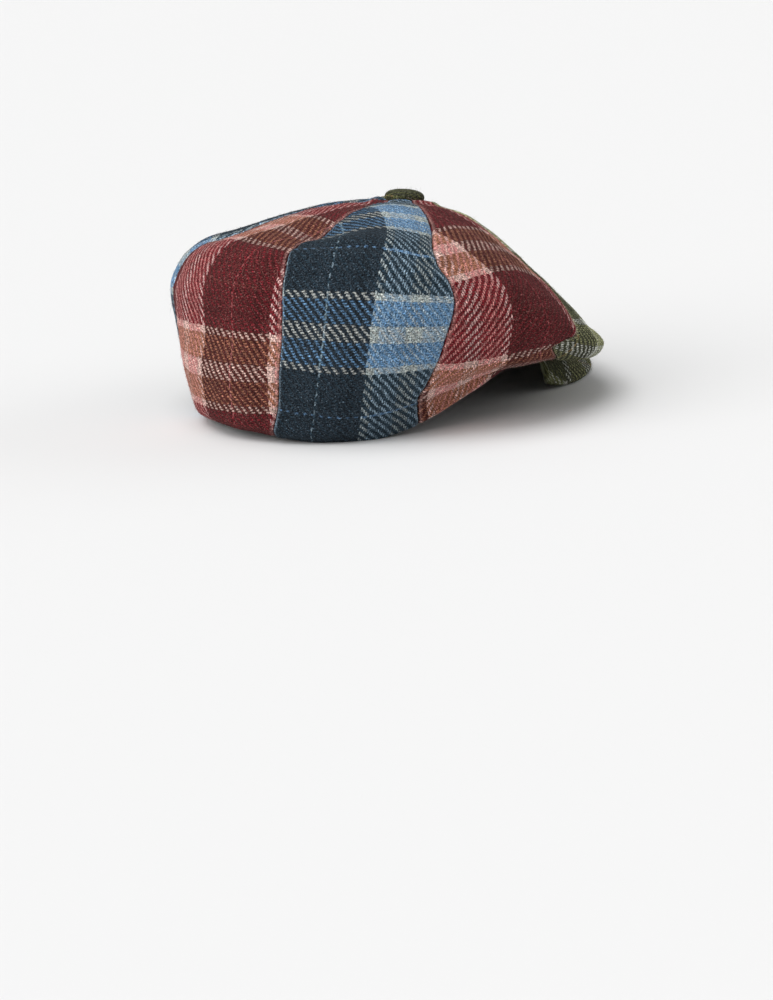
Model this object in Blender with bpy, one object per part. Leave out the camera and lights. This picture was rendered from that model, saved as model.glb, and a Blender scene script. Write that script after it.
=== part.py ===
"""An eight-panel newsboy cap: eight cloth crown panels, a stiff cloth-covered peak and a covered button.

Sizes are in mm. A point of the cap as worn is (forward, wearer's right, up) from the middle of the head
opening. The cap then pitches forward until the hem and the peak's edge both stand on the floor. In Blender
the front faces -Y and the wearer's right is -X.
"""
import math

import bpy
import numpy as np

MM = 0.001

# Cloth, gaps and how the cap stands
CLOTH_THICK = 2.0
PIECE_GAP = 0.3
REST_PITCH = 4.5
PIVOT_FORWARD = -75.0
HEM_DROP = 0.6

# The crown is drawn through rings, from the button down to the hem. A ring's reach from its middle and its
# height stand under the directions 0, 45, 90, 135 and 180 degrees from the front, the same on both sides.
# Seam level picks a seam's angle from the seam table, seam dip is how far the seams sink there, lean share
# is how much of the crown's lean the ring takes, and rows is how many rows reach down to it.
APEX_FORWARD = 20.0
APEX_HEIGHT = 119.0
FIRST_ROW_SHARE = 0.09
RING_COLUMNS = ("middle", "lean", "level", "dip", "rows", "reach", "height")
RINGS = dict(
    top=(20, 1.0, 0.0, 1.0, 5, (40, 40, 42, 42, 42), (104, 109, 117, 121, 120)),
    slope=(20, 1.0, 0.5, 1.5, 3, (74, 75, 80, 84, 85), (72, 80, 102, 113, 114)),
    shoulder=(20, 1.0, 1.0, 2.0, 3, (99, 104, 110, 117, 118), (50, 52, 84, 102, 105)),
    bulge=(20, 1.0, 2.0, 2.5, 4, (109, 115, 125, 132, 133), (42, 41, 61, 82, 86)),
    wall=(20, 0.7, 3.0, 2.5, 3, (109, 114, 120, 129, 132), (37, 36, 47, 53, 57)),
    brow=(16, 0.4, 3.5, 2.0, 2, (108, 111, 110, 121, 128), (32.5, 33, 39, 35, 37)),
    crease=(10, 0.2, 4.0, 1.5, 2, (109, 107, 97, 110, 118.5), (31.5, 34, 34, 16, 18)),
    tuck=(3, 0.0, 4.6, 0.5, 2, (106, 98, 89, 99, 109), (32.5, 38, 35.5, 5, 7)),
    hem=(0, 0.0, 5.0, 0.3, 2, (102, 92, 84.5, 91, 101), (30, 35, 21.5, -1, 3)),
)
CROWN_LEAN = 0.135

# Each panel and the seam at its far side, going from the front round by the wearer's right. A seam's angle
# from the front stands under the seam levels 0 (crown), 1 (shoulder), 2 (bulge), 3 (wall), 4 (crease), 5 (hem).
SEAM_LEVELS = (0, 1, 2, 3, 4, 5)
SEAM_SHARPNESS = 2.5
PANELS = dict(
    front=(22.5, 22.5, 22.5, 22, 22, 21),
    front_right=(64, 68, 72, 80, 63, 60),
    right_side=(112.5, 117, 113, 115, 116, 109),
    right_rear=(156.5, 156.5, 156.5, 157.5, 158.5, 160.5),
    back=(216, 213, 209, 209, 211, 209),
    left_rear=(254, 252, 250, 249, 249, 250),
    left_side=(293, 293, 293, 293, 294, 295),
    left_front=(337.5, 337.5, 338, 338, 338, 339),
)
CLOTHS = dict(
    navy_plaid=(0.10, 0.15, 0.22),
    olive_plaid=(0.16, 0.17, 0.10),
    wine_plaid=(0.26, 0.07, 0.08),
)
PANEL_CLOTH = dict(
    front="navy_plaid", front_right="olive_plaid", right_side="wine_plaid", right_rear="navy_plaid",
    back="wine_plaid", left_rear="navy_plaid", left_side="olive_plaid", left_front="wine_plaid",
)
PANEL_COLUMNS = 9

# Puffs and dents of the cloth. Each row is the angle from the front, the ring number counted from the
# apex, the spread in degrees, the spread in rings, and the height, less than nothing for a dent.
PUFFS = (
    (157, 3.3, 11, 0.45, 3.0),
    (154, 2.3, 14, 0.5, -4.0),
    (134, 2.9, 14, 0.5, 2.0),
    (90, 3.6, 12, 0.6, 1.5),
    (182, 3.2, 12, 0.5, 2.0),
    (228, 3.3, 13, 0.5, 2.5),
    (205, 2.4, 12, 0.5, -2.5),
    (270, 3.5, 12, 0.6, 1.5),
)

# Peak
PEAK_YAW = -8.0
PEAK_HALF_ANGLE = 48.0
PEAK_CIRCLE_FORWARD = 77.5
PEAK_CIRCLE_RADIUS = 69.0
PEAK_CIRCLE_SWEEP = 104.0
PEAK_THICK = 3.6
PEAK_GAP = 0.4
PEAK_END_WIDTH = 4.0
PEAK_BOW = 1.5
PEAK_EDGE_SHARE = (0, 0.3, 0.5, 0.72, 0.865, 0.94, 1.0)
PEAK_EDGE_HEIGHT = (4.0, 2.6, 1.0, 0.0, 1.5, 6.0, 16.0)
PEAK_SOFTENING = (-0.05, -0.025, 0.0, 0.025, 0.05)
PEAK_END_SHARE = 0.975
PEAK_STEPS = 40
PEAK_LIFT_PASSES = 4
PEAK_DEPTH_SHARES = (0.0, 0.18, 0.36, 0.54, 0.72, 0.88, 1.0)
PEAK_EDGE_ROUND = ((0.35, 1.2), (0.5, 1.6), (0.65, 1.2))
PEAK_CLOTH = "olive_plaid"

# Button, as (radius, height) from its underside up to its crown
BUTTON_PROFILE = ((9.6, 0.0), (11.0, 1.3), (11.3, 2.8), (10.6, 4.5), (8.4, 5.9), (4.6, 6.8))
BUTTON_HEIGHT = 7.0
BUTTON_STEPS = 28
BUTTON_MARGIN = 1.0
BUTTON_CLOTH = "olive_plaid"


# The knots that each round of blending runs between, for a curve through four ring points
CURVE_BLENDS = (((0, 1), (1, 2), (2, 3)), ((0, 2), (1, 3)), ((1, 2),))


def ring_value(name, column):
    """One named column of a ring's row."""
    return RINGS[name][RING_COLUMNS.index(column)]


def even_series(values, angles):
    """A smooth closed curve, the same on both sides, through values at even steps from 0 to 180 degrees."""
    steps = len(values) - 1
    places = np.arange(steps + 1)
    weights = np.ones(steps + 1)
    weights[[0, -1]] = 0.5
    total = 0.0
    for wave in range(steps + 1):
        share = 2.0 / steps * np.sum(weights * values * np.cos(math.pi * wave * places / steps))
        if wave in (0, steps):
            share *= 0.5
        total = total + share * np.cos(wave * angles)
    return total


def ring_points(name, angles):
    """The points of one ring at the given angles from the front, in radians."""
    reach = even_series(np.array(ring_value(name, "reach"), float), angles)
    height = even_series(np.array(ring_value(name, "height"), float), angles)
    rearward = (1 - np.cos(angles)) / 2
    height = height + CROWN_LEAN * ring_value(name, "lean") * reach * np.sin(angles) * rearward
    forward = ring_value(name, "middle") + reach * np.cos(angles)
    return np.stack([forward, reach * np.sin(angles), height], -1)


def stand(points):
    """Pitches worn points forward onto the floor."""
    cos = math.cos(math.radians(REST_PITCH))
    sin = math.sin(math.radians(REST_PITCH))
    forward = points[..., 0] - PIVOT_FORWARD
    height = points[..., 2]
    turned = [PIVOT_FORWARD + forward * cos + height * sin, points[..., 1], height * cos - forward * sin]
    return np.stack(turned, -1)


def seam_angle(panel_number, level):
    """The angle, in degrees, of the seam at the far side of a panel."""
    rows = list(PANELS.values())
    turns, row = divmod(panel_number, len(rows))
    return np.interp(level, SEAM_LEVELS, rows[row]) + 360 * turns


def ring_levels():
    """The seam level of the apex and of each ring, going down."""
    return [0.0] + [ring_value(name, "level") for name in RINGS]


def panel_rings(panel_number, across):
    """The panel's ring points, from the apex down, at shares across it from its near seam to its far one."""
    apex = np.array([APEX_FORWARD, 0.0, APEX_HEIGHT])
    rings = [np.tile(apex, (len(across), 1))]
    for name in RINGS:
        level = ring_value(name, "level")
        near = seam_angle(panel_number - 1, level)
        far = seam_angle(panel_number, level)
        rings.append(ring_points(name, np.radians(near + (far - near) * across)))
    return np.array(rings)


def curve_down(rings, ring, share):
    """A point row between two rings, on the centripetal curve through the rings around them."""
    above = 2 * rings[0] - rings[1]
    above[:, 2] = rings[1][:, 2]
    below = 2 * rings[-1] - rings[-2]
    line = np.concatenate([above[None], rings, below[None]])[ring:ring + 4]
    steps = np.sqrt(np.linalg.norm(np.diff(line, axis=0), axis=-1))
    knots = np.concatenate([np.zeros((1, steps.shape[1])), np.cumsum(steps, 0)])[..., None]
    here = knots[1] + (knots[2] - knots[1]) * share
    blend = list(line)
    for pairs in CURVE_BLENDS:
        for i, (low, high) in enumerate(pairs):
            part = (here - knots[low]) / (knots[high] - knots[low])
            blend[i] = blend[i] * (1 - part) + blend[i + 1] * part
    return blend[0]


def row_places():
    """The ring and the share below it of every row, from just below the apex to the hem."""
    places = []
    for ring, name in enumerate(RINGS):
        rows = ring_value(name, "rows")
        for row in range(rows):
            share = row / rows
            if ring == 0:
                share = FIRST_ROW_SHARE + (1 - FIRST_ROW_SHARE) * share
            places.append((ring, share))
    places.append((len(RINGS) - 1, 1.0))
    return places


def puff_height(angles, ring):
    """How far the puffs and dents move the cloth at angles in degrees on one ring number."""
    height = np.zeros_like(angles)
    for angle, place, wide, tall, high in PUFFS:
        off = (angles - angle + 180) % 360 - 180
        height += high * np.exp(-(off / wide) ** 2 - ((ring - place) / tall) ** 2)
    return height


def outward_normals(grid):
    """Unit normals of a grid of points whose rows run down and whose columns run to the wearer's right."""
    down = np.gradient(grid, axis=0)
    across = np.gradient(grid, axis=1)
    normals = np.cross(down, across)
    return normals / np.linalg.norm(normals, axis=-1, keepdims=True)


def panel_surfaces(panel_number):
    """The panel's outer and inner points, row by row, in the standing pose.

    One more column beyond each seam gives both panels the same normals there.
    """
    step = 1 / (PANEL_COLUMNS - 1)
    across = np.linspace(-step, 1 + step, PANEL_COLUMNS + 2)
    rings = panel_rings(panel_number, across)
    places = row_places()
    smooth = np.array([curve_down(rings, ring, share) for ring, share in places])
    normals = outward_normals(smooth)[:, 1:-1]
    smooth = smooth[:, 1:-1]
    across = across[1:-1]
    levels = ring_levels()
    dips = [0.0] + [ring_value(name, "dip") for name in RINGS]
    edge = np.abs(2 * across - 1) ** SEAM_SHARPNESS
    outer = smooth.copy()
    for row, (ring, share) in enumerate(places):
        number = ring + share
        level = np.interp(number, range(len(levels)), levels)
        near = seam_angle(panel_number - 1, level)
        far = seam_angle(panel_number, level)
        move = puff_height(near + (far - near) * across, number)
        move -= np.interp(number, range(len(dips)), dips) * edge
        outer[row] += normals[row] * move[:, None]
    inward = -normals
    flat = -outer * [1, 1, 0]
    flat /= np.linalg.norm(flat, axis=-1, keepdims=True)
    for row, (ring, share) in enumerate(places):
        hem_share = max(ring + share - (len(RINGS) - 1), 0.0)
        inward[row] = inward[row] * (1 - hem_share) + flat[row] * hem_share
    inward /= np.linalg.norm(inward, axis=-1, keepdims=True)
    inner = outer + inward * CLOTH_THICK
    trim_seams(outer)
    trim_seams(inner)
    return settle(outer), settle(inner)


def trim_seams(grid):
    """Takes half the gap off each seam edge of a grid."""
    for edge, beside in ((0, 1), (-1, -2)):
        step = grid[:, beside] - grid[:, edge]
        length = np.linalg.norm(step, axis=-1, keepdims=True)
        grid[:, edge] += step / length * PIECE_GAP / 2


def settle(grid):
    """Stands a grid on the floor, with the hem pressed flat where it would sink in."""
    standing = stand(grid)
    standing[..., 2] = np.maximum(standing[..., 2] + HEM_DROP, 0.0)
    return standing


def grid_faces(rows, columns, start, flip):
    """Quads over a grid of points numbered from start."""
    faces = []
    for row in range(rows - 1):
        for column in range(columns - 1):
            corner = start + row * columns + column
            face = (corner, corner + columns, corner + columns + 1, corner + 1)
            faces.append(face[::-1] if flip else face)
    return faces


def band_faces(outer_edge, inner_edge):
    """Quads joining two open edges that run side by side."""
    faces = []
    for i in range(len(outer_edge) - 1):
        faces.append((outer_edge[i], outer_edge[i + 1], inner_edge[i + 1], inner_edge[i]))
    return faces


def cut_faces(quads, first):
    """Each quad as two triangles, cut from its first corner or from its second one."""
    faces = []
    for a, b, c, d in quads:
        if first:
            faces += [(a, b, c), (a, c, d)]
        else:
            faces += [(a, b, d), (b, c, d)]
    return faces


def shell(outer, inner):
    """A closed shell from an outer grid and an inner grid of the same size.

    Both seam sides are cut along the same diagonal, so that two panels keep their gap where the cloth turns.
    """
    rows, columns = outer.shape[:2]
    count = rows * columns
    points = np.concatenate([outer.reshape(-1, 3), inner.reshape(-1, 3)])
    number = np.arange(count).reshape(rows, columns)
    faces = grid_faces(rows, columns, 0, True)
    faces += grid_faces(rows, columns, count, False)
    for edge in (number[0], number[-1][::-1]):
        faces += band_faces(edge[::-1], edge[::-1] + count)
    for edge, first in ((number[::-1, -1], True), (number[:, 0], False)):
        faces += cut_faces(band_faces(edge, edge + count), first)
    return points, faces


def softened(places, table_places, table_values):
    """A value between the rows of a short table, without kinks at the rows."""
    total = 0.0
    for offset in PEAK_SOFTENING:
        total = total + np.interp(np.abs(places + offset), table_places, table_values)
    return total / len(PEAK_SOFTENING)


def peak_outline(shares, lift):
    """The peak's outer edge on its top, standing, at shares from its middle to its ends."""
    sweep = np.radians(PEAK_CIRCLE_SWEEP) * shares
    forward = PEAK_CIRCLE_FORWARD + PEAK_CIRCLE_RADIUS * np.cos(sweep)
    right = PEAK_CIRCLE_RADIUS * np.sin(sweep)
    cos = math.cos(math.radians(PEAK_YAW))
    sin = math.sin(math.radians(PEAK_YAW))
    flat = np.stack([forward * cos - right * sin, forward * sin + right * cos, 0 * forward], -1)
    edge = stand(flat)
    edge[:, 2] = softened(shares, PEAK_EDGE_SHARE, PEAK_EDGE_HEIGHT) + lift
    return edge


def peak_grids(lift):
    """The peak's top and underside grids and its rounded edge rows, from one end to the other."""
    shares = np.linspace(-PEAK_END_SHARE, PEAK_END_SHARE, PEAK_STEPS + 1)
    angles = np.radians(PEAK_YAW + PEAK_HALF_ANGLE * shares)
    root = stand(ring_points("hem", angles))
    root[:, 2] += HEM_DROP - PEAK_GAP
    edge = peak_outline(shares, lift + PEAK_THICK)
    outward = root[:, :2] / np.linalg.norm(root[:, :2], axis=1, keepdims=True)
    width = np.sum((edge - root)[:, :2] * outward, axis=1)
    edge[:, :2] += outward * np.maximum(PEAK_END_WIDTH - width, 0)[:, None]
    depth = np.array(PEAK_DEPTH_SHARES)[:, None, None]
    top = root + (edge - root) * depth
    top[..., 2] += PEAK_BOW * np.sin(math.pi * depth[..., 0])
    normals = outward_normals(top)
    under = top - normals * PEAK_THICK
    outward = top[-1] - top[-2]
    outward /= np.linalg.norm(outward, axis=-1, keepdims=True)
    rounds = []
    for down, out in PEAK_EDGE_ROUND:
        rounds.append(top[-1] * (1 - down) + under[-1] * down + outward * out)
    return top, under, np.array(rounds)


def peak_solid(lift):
    """The closed peak: rings of points round its section, capped at both ends."""
    top, under, rounds = peak_grids(lift)
    section = np.concatenate([top, rounds, under[::-1]])
    around, along = section.shape[:2]
    points = section.reshape(-1, 3)
    faces = []
    for i in range(around):
        following = (i + 1) % around
        for j in range(along - 1):
            a, b = i * along + j, following * along + j
            faces.append((a, a + 1, b + 1, b))
    first_end = [i * along for i in range(around)]
    last_end = [i * along + along - 1 for i in range(around)]
    depths = len(PEAK_DEPTH_SHARES)
    for end, flip in ((first_end, False), (last_end, True)):
        above = end[:depths]
        below = end[:-depths - 1:-1]
        strip = band_faces(above, below)
        nose = (above[-1], *end[depths:-depths], below[-1])
        for face in strip + [nose]:
            faces.append(tuple(face)[::-1] if flip else tuple(face))
    return points, faces


def peak_standing():
    """The peak, lifted so that its edge just stands on the floor."""
    lift = 0.0
    for _ in range(PEAK_LIFT_PASSES):
        points, faces = peak_solid(lift)
        lift -= points[:, 2].min()
    return peak_solid(lift)


def button_solid(cloth_points):
    """The covered button, standing square on the crown just above the cloth under it."""
    middle = stand(np.array([APEX_FORWARD, 0.0, APEX_HEIGHT]))
    widest = max(radius for radius, height in BUTTON_PROFILE)
    off = cloth_points - middle
    near = np.hypot(off[:, 0], off[:, 1]) < widest + BUTTON_MARGIN
    under = cloth_points[near]
    slopes, _, _, _ = np.linalg.lstsq(np.column_stack([under[:, :2] - middle[:2], np.ones(len(under))]),
                                      under[:, 2], rcond=None)
    axis = np.array([-slopes[0], -slopes[1], 1.0])
    axis /= np.linalg.norm(axis)
    side = np.cross([0.0, 1.0, 0.0], axis)
    side /= np.linalg.norm(side)
    ahead = np.cross(axis, side)
    foot = middle + axis * (((under - middle) @ axis).max() + PIECE_GAP)
    angles = np.arange(BUTTON_STEPS) * 2 * math.pi / BUTTON_STEPS
    points = [foot]
    for radius, height in BUTTON_PROFILE:
        circle = np.outer(np.cos(angles), side) + np.outer(np.sin(angles), ahead)
        points.extend(foot + axis * height + circle * radius)
    points.append(foot + axis * BUTTON_HEIGHT)
    faces = []
    last = len(points) - 1
    for j in range(BUTTON_STEPS):
        k = (j + 1) % BUTTON_STEPS
        faces.append((0, 1 + k, 1 + j))
        for i in range(len(BUTTON_PROFILE) - 1):
            a, b = 1 + i * BUTTON_STEPS, 1 + (i + 1) * BUTTON_STEPS
            faces.append((a + j, a + k, b + k, b + j))
        top_ring = 1 + (len(BUTTON_PROFILE) - 1) * BUTTON_STEPS
        faces.append((top_ring + j, top_ring + k, last))
    return np.array(points), faces


def cloth_material(name, color):
    """A plain material for one node."""
    material = bpy.data.materials.new(name)
    material.use_nodes = True
    shader = material.node_tree.nodes["Principled BSDF"]
    shader.inputs["Base Color"].default_value = (*color, 1.0)
    shader.inputs["Roughness"].default_value = 0.9
    material.diffuse_color = (*color, 1.0)
    return material


def outward_volume(points, faces):
    """Six times the volume that the faces enclose, above nothing when they face outward."""
    total = 0.0
    for face in faces:
        a = points[face[0]]
        for i in range(1, len(face) - 1):
            total += a @ np.cross(points[face[i]], points[face[i + 1]])
    return total


def add_piece(name, points, faces, cloth, shift):
    """Adds one closed solid, given in mm with x forward and y to the wearer's right."""
    turned = np.stack([-points[:, 1], -points[:, 0], points[:, 2]], -1) + shift
    if outward_volume(turned, faces) < 0:
        faces = [tuple(face)[::-1] for face in faces]
    mesh = bpy.data.meshes.new(name)
    mesh.from_pydata((turned * MM).tolist(), [], [tuple(int(i) for i in face) for face in faces])
    mesh.polygons.foreach_set("use_smooth", [True] * len(faces))
    mesh.materials.append(cloth_material(name, CLOTHS[cloth]))
    mesh.update()
    piece = bpy.data.objects.new(name, mesh)
    bpy.context.scene.collection.objects.link(piece)
    return piece


def build_cap():
    """Builds every piece, with the origin under the middle of the whole cap on the floor."""
    for old in list(bpy.data.objects):
        bpy.data.objects.remove(old, do_unlink=True)
    solids = []
    crown = []
    for number, name in enumerate(PANELS):
        outer, inner = panel_surfaces(number)
        points, faces = shell(outer, inner)
        crown.append(outer.reshape(-1, 3))
        solids.append(("crown_panel_" + name, points, faces, PANEL_CLOTH[name]))
    solids.append(("peak", *peak_standing(), PEAK_CLOTH))
    solids.append(("button", *button_solid(np.concatenate(crown)), BUTTON_CLOTH))
    every = np.concatenate([points for name, points, faces, cloth in solids])
    low, high = every.min(0), every.max(0)
    shift = np.array([(low[1] + high[1]) / 2, (low[0] + high[0]) / 2, -low[2]])
    for name, points, faces, cloth in solids:
        add_piece(name, points, faces, cloth, shift)


build_cap()
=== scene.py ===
"""The newsboy cap as it looks: eight panels of wool twill in patchwork plaid, a covered peak and button.

Shape sizes are in mm. A point of the cap as worn is (forward, wearer's right, up) from the middle of the head
opening, as in the part's source, and the cap then pitches forward to stand on its hem and its peak's edge.
Cloth places are in mm too: X runs to the right over the outside of a panel and Y runs down it.
"""
import math
from functools import cache

import bpy
import numpy as np
from mathutils import Matrix, Vector


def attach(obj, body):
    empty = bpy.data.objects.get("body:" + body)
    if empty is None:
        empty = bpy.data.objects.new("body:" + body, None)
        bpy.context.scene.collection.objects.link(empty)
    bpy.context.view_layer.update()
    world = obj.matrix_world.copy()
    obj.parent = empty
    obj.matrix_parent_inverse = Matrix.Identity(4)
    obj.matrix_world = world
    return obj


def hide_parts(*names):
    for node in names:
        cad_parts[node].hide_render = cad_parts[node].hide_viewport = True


MM = 0.001

# Cloth, gaps and how the cap stands
CLOTH_THICK = 2.0
SEAM_GAP = 0.2
REST_PITCH = 4.5
PIVOT_FORWARD = -75.0
HEM_DROP = 0.6
SHIFT = (0.1016, 18.5685, 0.0)

# The crown is drawn through rings, from the button down to the hem. A ring's reach from its middle and its
# height stand under the directions 0, 45, 90, 135 and 180 degrees from the front, the same on both sides.
# Seam level picks a seam's angle from the seam table, seam dip is how far the seams sink there, lean share
# is how much of the crown's lean the ring takes, and rows is how many rows reach down to it.
APEX_FORWARD = 20.0
APEX_HEIGHT = 119.0
FIRST_ROW_SHARE = 0.09
RING_COLUMNS = ("middle", "lean", "level", "dip", "rows", "reach", "height")
RINGS = dict(
    top=(20, 1.0, 0.0, 1.0, 5, (40, 40, 42, 42, 42), (104, 109, 117, 121, 120)),
    slope=(20, 1.0, 0.5, 1.5, 3, (74, 75, 80, 84, 85), (72, 80, 102, 113, 114)),
    shoulder=(20, 1.0, 1.0, 2.0, 3, (99, 104, 110, 117, 118), (50, 52, 84, 102, 105)),
    bulge=(20, 1.0, 2.0, 2.5, 4, (109, 115, 125, 132, 133), (42, 41, 61, 82, 86)),
    wall=(20, 0.7, 3.0, 2.5, 3, (109, 114, 120, 129, 132), (37, 36, 47, 53, 57)),
    brow=(16, 0.4, 3.5, 2.0, 2, (108, 111, 110, 121, 128), (32.5, 33, 39, 35, 37)),
    crease=(10, 0.2, 4.0, 1.5, 2, (109, 107, 97, 110, 118.5), (31.5, 34, 34, 16, 18)),
    tuck=(3, 0.0, 4.6, 0.5, 2, (106, 98, 89, 99, 109), (32.5, 38, 35.5, 5, 7)),
    hem=(0, 0.0, 5.0, 0.3, 2, (102, 92, 84.5, 91, 101), (30, 35, 21.5, -1, 3)),
)
CROWN_LEAN = 0.135
CURVE_BLENDS = (((0, 1), (1, 2), (2, 3)), ((0, 2), (1, 3)), ((1, 2),))

# Each panel and the seam at its far side, going from the front round by the wearer's right. A seam's angle
# from the front stands under the seam levels: crown, shoulder, bulge, wall, crease and hem.
SEAM_LEVELS = (0, 1, 2, 3, 4, 5)
SEAM_SHARPNESS = 2.5
PANELS = dict(
    front=(22.5, 22.5, 22.5, 22, 22, 21),
    front_right=(64, 68, 72, 80, 63, 60),
    right_side=(112.5, 117, 113, 115, 116, 109),
    right_rear=(156.5, 156.5, 156.5, 157.5, 158.5, 160.5),
    back=(216, 213, 209, 209, 211, 209),
    left_rear=(254, 252, 250, 249, 249, 250),
    left_side=(293, 293, 293, 293, 294, 295),
    left_front=(337.5, 337.5, 338, 338, 338, 339),
)

# How each panel is cut from its plaid: the cloth, which face is out, how far the warp leans across for each
# mm down, how far the weft drops for each mm across, how much the warp bends above the shoulder, how far it
# slips across where the side folds over, and the cloth place under the middle of the panel's hem.
CUT_COLUMNS = ("cloth", "face", "lean", "drop", "bend", "slip", "across", "down")
BEND_FROM = 115.0
BEND_SCALE = 0.001
SLIP_FROM, SLIP_LENGTH = 86.0, 22.0
STRAIGHT = (0.0, 0.0, 0.0, 0.0)
CUTS = dict(
    front=("navy", 1, *STRAIGHT, 20, 30),
    front_right=("olive", 1, *STRAIGHT, 76, 11),
    right_side=("wine", -1, 0.339, 0.295, 0.0, -6.0, 65.7, 98.9),
    right_rear=("navy", 1, 0.049, 0.059, 4.0, 0.0, 47.8, 47.9),
    back=("wine", 1, 0.158, -0.010, 3.5, 0.0, 5.9, 12.5),
    left_rear=("navy", 1, *STRAIGHT, 30, 70),
    left_side=("olive", -1, *STRAIGHT, 35, 10),
    left_front=("wine", 1, *STRAIGHT, 75, 45),
)

# Puffs and dents of the cloth. Each row is the angle from the front, the ring number counted from the
# apex, the spread in degrees, the spread in rings, and the height, less than nothing for a dent.
PUFFS = (
    (157, 3.3, 11, 0.45, 3.0),
    (154, 2.3, 14, 0.5, -4.0),
    (134, 2.9, 14, 0.5, 2.0),
    (90, 3.6, 12, 0.6, 1.5),
    (182, 3.2, 12, 0.5, 2.0),
    (228, 3.3, 13, 0.5, 2.5),
    (205, 2.4, 12, 0.5, -2.5),
    (270, 3.5, 12, 0.6, 1.5),
)

# Narrow creases and ridges along lines on the crown. Each row is the angle and ring number where the line
# starts and where it ends, its spread in rings, and its height, less than nothing for a crease.
FOLD_ENDS = 0.22
FOLDS = (
    (162, 3.00, 128, 3.10, 0.10, -1.1),
    (162, 3.26, 130, 3.32, 0.16, 0.7),
    (134, 3.06, 108, 3.40, 0.11, -1.5),
    (136, 3.34, 109, 3.68, 0.17, 1.4),
    (119, 6.25, 70, 5.40, 0.24, 1.1),
    (119, 6.95, 72, 6.15, 0.30, -1.2),
    (182, 2.80, 158, 3.00, 0.11, -0.8),
    (182, 3.02, 158, 3.24, 0.16, 0.5),
    (216, 2.60, 190, 2.78, 0.13, -0.6),
    (206, 5.10, 168, 5.50, 0.30, -0.7),
    (246, 3.10, 282, 3.30, 0.12, -0.9),
    (252, 3.36, 286, 3.60, 0.17, 0.8),
    (300, 3.25, 334, 3.00, 0.12, -0.7),
    (24, 3.05, 58, 3.25, 0.12, -0.8),
)

# Fine form of the sewn cloth
SEEN_PANELS = ("right_side", "right_rear", "back")
SEEN_COLUMNS, SEEN_ROW_SPLITS = 120, 8
OTHER_COLUMNS, OTHER_ROW_SPLITS = 88, 6
EDGE_CROWDING = 0.55
INNER_STEP = 4
FLAT_COLUMNS = 12
FLATTEN_SWEEPS, FLATTEN_PULL = 500, 1.6
GROOVE_DEPTH, GROOVE_WIDTH, GROOVE_POWER = 1.3, 0.9, 1.3
RIDGE_HEIGHT, RIDGE_PLACE, RIDGE_WIDTH = 0.35, 3.2, 1.6
NARROW_PANEL = 14.0
PUCKER_HEIGHT, PUCKER_REACH, PUCKER_LENGTH, PUCKER_SPAN = 0.40, 7.0, 8.0, 40.0
ROLL_STEPS = 6
HEM_ROLL_SHARE = 0.94
CALM_UNDER_BUTTON = 11.0
COLLAR_HEIGHT, COLLAR_PLACE, COLLAR_WIDTH = 2.2, 13.0, 4.0
UNDULATIONS = ((26.0, 0.80), (11.0, 0.35), (4.5, 0.10))
FAR_FROM_SEAM = 50.0

# Seeds and offsets that keep the noise of one piece apart from the next
SEEDS_A_PANEL, PUCKER_SEED, PEAK_SEED = 7, 5, 90
UNDULATION_OFFSET, PUCKER_OFFSET = 17.3, 3.0
HASH_X, HASH_Y, HASH_SEED, HASH_MIX = 374761393, 668265263, 974711, 1274126177
HASH_BITS, HASH_TOP, HASH_SHIFTS = 0xFFFFFFFF, 0xFFFF, (13, 16)

# Peak
PEAK_YAW = -8.0
PEAK_HALF_ANGLE = 48.0
PEAK_CIRCLE_FORWARD = 77.5
PEAK_CIRCLE_RADIUS = 69.0
PEAK_CIRCLE_SWEEP = 104.0
PEAK_THICK = 3.6
PEAK_GAP = 0.4
PEAK_END_WIDTH = 4.0
PEAK_BOW = 1.5
PEAK_EDGE_SHARE = (0, 0.3, 0.5, 0.72, 0.865, 0.94, 1.0)
PEAK_EDGE_HEIGHT = (4.0, 2.6, 1.0, 0.0, 1.5, 6.0, 16.0)
PEAK_END_SHARE = 0.975
PEAK_LIFT_PASSES = 3
PEAK_STEPS = 220
PEAK_DEPTH_STEPS = 70
PEAK_NOSE_STEPS = 10
PEAK_NOSE_REACH = 1.6
PEAK_SEAM_SINK, PEAK_SEAM_PLACE, PEAK_SEAM_WIDTH = 0.45, 1.9, 0.25
PEAK_SOFTENING = (-0.05, -0.025, 0.0, 0.025, 0.05)
PEAK_CALM = 0.35
PEAK_CUT = ("olive", 1, *STRAIGHT, 62, 2)

# Button, as (radius, height) from its crown down to its underside. A gather is as deep as named at the edge.
BUTTON_PROFILE = ((0.0, 7.0), (4.6, 6.8), (8.4, 5.9), (10.6, 4.5),
                  (11.3, 2.8), (11.0, 1.3), (9.6, 0.0), (6.0, 0.0))
BUTTON_ROWS = 64
BUTTON_FIBRE_ROWS = BUTTON_ROWS * 2 // 3
BUTTON_STEPS, BUTTON_LINE_STEPS = 160, 24
BUTTON_GATHERS, BUTTON_GATHER_DEPTH, BUTTON_EDGE = 17, 0.45, 11
GATHER_WANDER, GATHER_WANDERS = 1.5, 3
GATHER_FROM, GATHER_REACH = 0.45, 0.4
BUTTON_MARGIN = 1
SOURCE_COLUMNS = 9
BUTTON_CUT = ("olive", 1, *STRAIGHT, 38, 39)
PIECE_GAP = 0.3

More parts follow.
